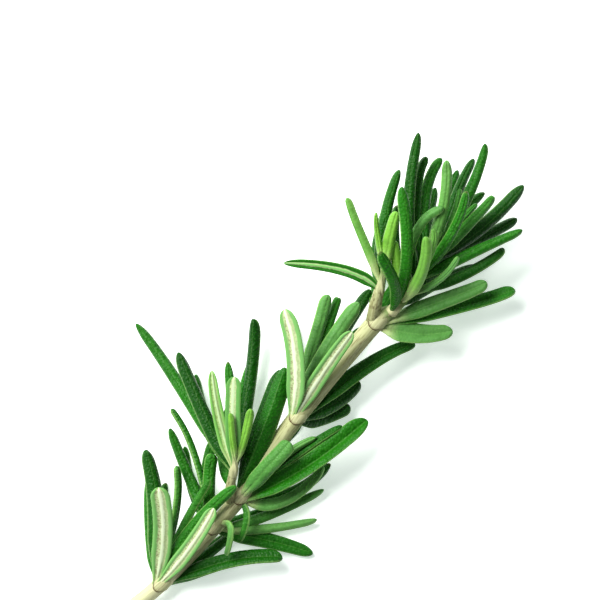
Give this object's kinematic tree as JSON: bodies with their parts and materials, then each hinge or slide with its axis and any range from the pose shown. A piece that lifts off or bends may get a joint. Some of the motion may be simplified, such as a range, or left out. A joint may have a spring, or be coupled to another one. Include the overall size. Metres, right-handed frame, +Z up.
{
  "type": "rosemary sprig",
  "caption": "Branched sprig of rosemary lying as cut: a tan woody stem with tufts of narrow leaves at its nodes, two side shoots and a dense leafy tip.",
  "frame": {"origin": "bottom centre of the box round the sprig as it lies, on the surface it lies on", "axes": "+Y along the main stem from its cut end to the leafy tip, +Z up from the surface, +X to the right when looking from the cut end"},
  "size_m": [0.0574, 0.1242, 0.0251],
  "materials": {
    "bark": "young bark, tan with fine grey-brown streaks, pale at the cut end",
    "leaf": "waxy and finely quilted above, felted pale grey-green with a cream midrib below",
    "young_leaf": "as leaf, brighter yellow-green"
  },
  "bodies": {
    "root": {"branched_stem": "bark", "leaves_first_node": "leaf", "leaves_second_node": "leaf", "leaves_third_node": "leaf", "leaves_side_shoot": "leaf", "leaves_fourth_node": "leaf", "leaves_short_shoot": "young_leaf", "leaves_fifth_node": "leaf", "leafy_tip": "young_leaf"}
  },
  "joints": []
}
